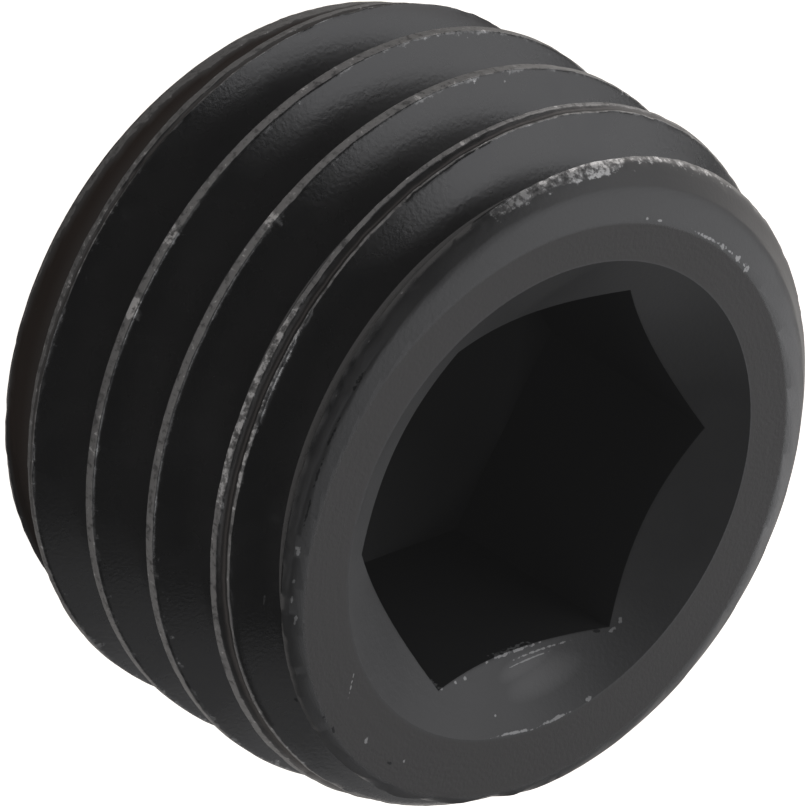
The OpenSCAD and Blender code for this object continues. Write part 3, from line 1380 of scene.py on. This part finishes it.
@dataclass
class ScrewEnds:
    """Flat faces, countersunk hexagon socket and flat point, on the thread's own columns."""

    blank: Blank
    socket_af: float = 8.15
    socket_depth: float = 5.6
    socket_x: float = -0.20
    sink_d: float = 11.0
    sink_angle: float = 112.0
    drill_angle: float = 120.0
    face_scale: float = 0.18
    sink_rough: float = 1.2
    rim_crest: float = 0.4
    edge_crest: float = 0.6
    wall_rough: float = 0.3
    drill_rough: float = 0.7
    drill_broached: float = 0.82

    def socket_end(self, angles: np.ndarray) -> list[Ring]:
        """Lists the rings from the face's edge down to the bottom of the socket.

        Args:
            angles: Angles of the columns about the axis, in radians, from a corner of the hexagon.

        Returns:
            The rings in order.
        """
        top = self.blank.length
        cos = np.cos(angles)
        sin = np.sin(angles)
        one = np.ones_like(angles)
        slope = math.tan(math.radians(90 - self.sink_angle / 2))
        outer = self.blank.rim(cos, sin)
        sink_r = self.sink_d / 2
        hexagon = self.socket_af / 2 / np.cos((angles % (math.pi / 3)) - math.pi / 6)
        rings = []
        for share in (0.0, 0.06, 0.2, 0.4, 0.6, 0.8, 0.94):
            radius = outer + share * (sink_r - outer)
            x = radius * cos + share * self.socket_x
            rings.append(Ring(x, radius * sin, one * top, scale=self.face_scale if share else 0.0))
        for share in (0.0, 0.05, 0.15, 0.3, 0.45, 0.6, 0.75, 0.9, 0.96):
            radius = sink_r + share * (hexagon - sink_r)
            drop = (sink_r - radius) * slope
            crest = self.rim_crest if share > 0.95 else 0.0
            x = radius * cos + self.socket_x
            rings.append(Ring(x, radius * sin, top - drop, self.sink_rough, crest=crest))
        edge = top - (sink_r - hexagon) * slope
        floor = top - self.socket_depth
        x = hexagon * cos + self.socket_x
        y = hexagon * sin
        for share in (0.0, 0.012, 0.04, 0.2, 0.5, 0.8, 0.97, 1.0):
            broached = 1.0 if share else 0.5
            crest = 0.0 if share else self.edge_crest
            rings.append(Ring(x, y, edge + share * (floor - edge), self.wall_rough, broached, crest))
        drill_r = self.socket_af / 2
        drill_slope = math.tan(math.radians(90 - self.drill_angle / 2))
        for radius in (drill_r, 3.9, 3.0, 2.0, 1.0, 0.4, 0.1):
            drop = (drill_r - radius) * drill_slope
            x = radius * cos + self.socket_x
            z = one * (floor - drop)
            rings.append(Ring(x, radius * sin, z, self.drill_rough, self.drill_broached))
        return rings

    def point_end(self, angles: np.ndarray) -> list[Ring]:
        """Lists the rings of the flat point from its middle to its edge.

        Args:
            angles: Angles of the columns about the axis, in radians.

        Returns:
            The rings in order.
        """
        zero = np.zeros_like(angles)
        rings = []
        for radius in (0.1, 1.0, 2.5, 4.0, 5.2, 6.1, 6.5, self.blank.point_d / 2):
            crest = self.rim_crest if radius > 6.4 else 0.0
            x = radius * np.cos(angles)
            y = radius * np.sin(angles)
            rings.append(Ring(x, y, zero, crest=crest, scale=1.0))
        return rings

    def build(self) -> bpy.types.Object:
        """Builds both ends as one mesh object.

        Returns:
            The object, for the thread's tree to take in.
        """
        count = self.blank.columns
        angles = np.arange(count) * math.tau / count
        rings = self.socket_end(angles)
        under = self.point_end(angles)
        verts: list[tuple[float, float, float]] = []
        faces: list[tuple[int, ...]] = []
        zones: dict[Zone, list[float]] = {zone: [] for zone in Zone}
        for stack in (rings, under):
            start = len(verts)
            for ring in stack:
                verts.extend(zip((ring.x * MM).tolist(), (ring.y * MM).tolist(), (ring.z * MM).tolist()))
                zones[Zone.TURNED].extend([ring.turned] * count)
                zones[Zone.BROACHED].extend([ring.broached] * count)
                zones[Zone.CREST].extend([ring.crest] * count)
                zones[Zone.SCALE].extend([ring.scale] * count)
                zones[Zone.WEAR].extend([0.5] * count)
                zones[Zone.ALONG].extend((angles * self.blank.major_d / 2 * MM).tolist())
                zones[Zone.ACROSS].extend((np.hypot(ring.x, ring.y) * MM).tolist())
            for level in range(len(stack) - 1):
                for column in range(count):
                    after = (column + 1) % count
                    a = start + level * count
                    b = a + count
                    faces.append((a + column, a + after, b + after, b + column))
        inner = (len(rings) - 1) * count
        faces.append(tuple(range(inner, inner + count)))
        outer = len(rings) * count
        faces.append(tuple(reversed(range(outer, outer + count))))
        mesh = bpy.data.meshes.new("screw_ends")
        mesh.from_pydata(verts, [], faces)
        for zone, values in zones.items():
            layer = mesh.attributes.new(zone.value, "FLOAT", "POINT")
            layer.data.foreach_set("value", values)
        mesh.update()
        ends = bpy.data.objects.new("screw_ends", mesh)
        bpy.context.scene.collection.objects.link(ends)
        return ends


@dataclass
class GrubScrew:
    """The whole screw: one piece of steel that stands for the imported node."""

    blank: Blank = field(default_factory=Blank)
    steel: BlackOxideSteel = BlackOxideSteel()
    node: str = "grub_screw"
    slot: str = "blackened_steel"

    def build(self) -> bpy.types.Object:
        """Builds the screw's mesh object.

        Returns:
            The finished piece, at the origin.
        """
        ends = ScrewEnds(self.blank).build()
        mesh = RolledThread(self.blank).roll(self.steel.build(), ends)
        bpy.data.objects.remove(ends)
        piece = bpy.data.objects.new("grub_screw_steel", mesh)
        bpy.context.scene.collection.objects.link(piece)
        return piece

    def dress(self, piece: bpy.types.Object) -> None:
        """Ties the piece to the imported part.

        Args:
            piece: The screw's mesh object.
        """
        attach(piece, "root")
        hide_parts(self.node)


@dataclass(frozen=True)
class Softbox:
    """One soft rectangular lamp, aimed at the screw."""

    name: str
    azimuth: float
    elevation: float
    distance: float
    width: float
    height: float
    radiance: float

    def build(self, aim: Vector) -> bpy.types.Object:
        """Hangs the lamp.

        Args:
            aim: Point that the lamp faces, in metres.

        Returns:
            The lamp's object.
        """
        data = bpy.data.lights.new(self.name, "AREA")
        data.shape = "RECTANGLE"
        data.size = self.width * MM
        data.size_y = self.height * MM
        data.energy = self.radiance * math.pi * data.size * data.size_y
        lamp = bpy.data.objects.new(self.name, data)
        bpy.context.scene.collection.objects.link(lamp)
        away = direction(self.azimuth, self.elevation)
        lamp.location = aim + away * self.distance * MM
        lamp.rotation_mode = "QUATERNION"
        lamp.rotation_quaternion = (-away).to_track_quat("-Z", "Y")
        return lamp


def direction(azimuth: float, elevation: float) -> Vector:
    """Gives a unit vector from two angles.

    Args:
        azimuth: Degrees from +X, turning to +Y.
        elevation: Degrees above the floor.

    Returns:
        The unit vector.
    """
    a = math.radians(azimuth)
    e = math.radians(elevation)
    return Vector((math.cos(a) * math.cos(e), math.sin(a) * math.cos(e), math.sin(e)))


@dataclass
class Studio:
    """White paper, soft lamps, a dim room and the camera of the photograph."""

    paper: PalePaper = PalePaper()
    room: float = 0.025
    wall: float = 0.2
    veil: float = 0.0045
    wall_top: float = 0.35
    page: float = 1.0
    lamp_aim_mm: float = 5.0
    paper_mm: float = 1600.0
    paper_gap_mm: float = 0.02
    aim: tuple[float, float, float] = (-1.911, 1.538, 7.171)
    azimuth: float = 139.59
    elevation: float = 40.92
    roll: float = 122.4
    distance: float = 472.28
    lens: float = 1000.0
    lamps: tuple[Softbox, ...] = (
        Softbox("key_softbox", 13.0, 41.0, 260.0, 370.0, 255.0, 0.64),
        Softbox("side_softbox", -50.0, 50.0, 300.0, 250.0, 210.0, 0.20),
        Softbox("top_softbox", -28.0, 71.0, 300.0, 140.0, 110.0, 0.40),
        Softbox("left_softbox", -99.0, 38.0, 320.0, 130.0, 120.0, 0.14),
        Softbox("low_softbox", -78.0, 16.0, 320.0, 180.0, 120.0, 0.31),
        Softbox("rim_softbox", -31.0, 14.0, 320.0, 100.0, 84.0, 2.2),
        Softbox("back_softbox", -160.0, 40.0, 320.0, 130.0, 90.0, 0.5),
        Softbox("front_softbox", 148.0, 48.0, 600.0, 420.0, 140.0, 0.5),
    )

    def lay_paper(self) -> bpy.types.Object:
        """Lays the paper just under the screw.

        Returns:
            The paper's object.
        """
        half = self.paper_mm / 2 * MM
        mesh = bpy.data.meshes.new("paper")
        low = -self.paper_gap_mm * MM
        corners = [(-half, -half, low), (half, -half, low), (half, half, low), (-half, half, low)]
        mesh.from_pydata(corners, [], [(0, 1, 2, 3)])
        mesh.materials.append(self.paper.build())
        paper = bpy.data.objects.new("paper", mesh)
        bpy.context.scene.collection.objects.link(paper)
        return paper

    def light(self) -> None:
        """Hangs the lamps and dims the room, which stays white behind the page."""
        for lamp in self.lamps:
            lamp.build(Vector((0.0, 0.0, self.lamp_aim_mm * MM)))
        world = bpy.data.worlds.new("room")
        bpy.context.scene.world = world
        world.use_nodes = True
        tree = world.node_tree
        tree.nodes.clear()
        seen = add_node(tree, "ShaderNodeLightPath").outputs["Is Camera Ray"]
        way = add_node(
            tree,
            "ShaderNodeSeparateXYZ",
            {0: add_node(tree, "ShaderNodeTexCoord").outputs["Generated"]},
        ).outputs[2]
        wall = add_node(
            tree, "ShaderNodeMapRange", {0: way, 1: 0.0, 2: self.wall_top, 3: self.wall, 4: self.room}
        ).outputs[0]
        strength = add_node(tree, "ShaderNodeMix", {0: seen, 2: wall, 3: self.page}).outputs[0]
        sky = add_node(
            tree, "ShaderNodeBackground", {"Color": linear("#ffffff"), "Strength": strength}
        ).outputs[0]
        add_node(tree, "ShaderNodeOutputWorld", {"Surface": sky})

    def point_camera(self) -> bpy.types.Object:
        """Sets the camera at the photograph's angle.

        Returns:
            The camera's object.
        """
        data = bpy.data.cameras.new("camera")
        data.lens = self.lens
        data.sensor_width = 36.0
        data.clip_start = 0.01
        data.clip_end = 5.0
        camera = bpy.data.objects.new("camera", data)
        bpy.context.scene.collection.objects.link(camera)
        back = direction(self.azimuth, self.elevation)
        roll = Matrix.Rotation(math.radians(self.roll), 3, "Z")
        turn = (-back).to_track_quat("-Z", "Y").to_matrix() @ roll
        camera.rotation_mode = "QUATERNION"
        camera.rotation_quaternion = turn.to_quaternion()
        camera.location = (Vector(self.aim) + back * self.distance) * MM
        bpy.context.scene.camera = camera
        return camera

    def build(self) -> None:
        """Builds the whole setting."""
        self.lay_paper()
        self.light()
        self.point_camera()
        view = bpy.context.scene.view_settings
        view.view_transform = "Standard"
        view.use_curve_mapping = True
        view.curve_mapping.black_level = (-self.veil, -self.veil, -self.veil)
        view.curve_mapping.update()


def main() -> None:
    """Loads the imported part, dresses it and sets the studio."""
    logging.basicConfig(level=logging.INFO, format="%(name)s: %(message)s")
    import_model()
    screw = GrubScrew()
    piece = screw.build()
    screw.dress(piece)
    LOG.info("%s: %d faces", piece.name, len(piece.data.polygons))
    Studio().build()
    LOG.info("studio set")


if __name__ == "__main__":
    main()
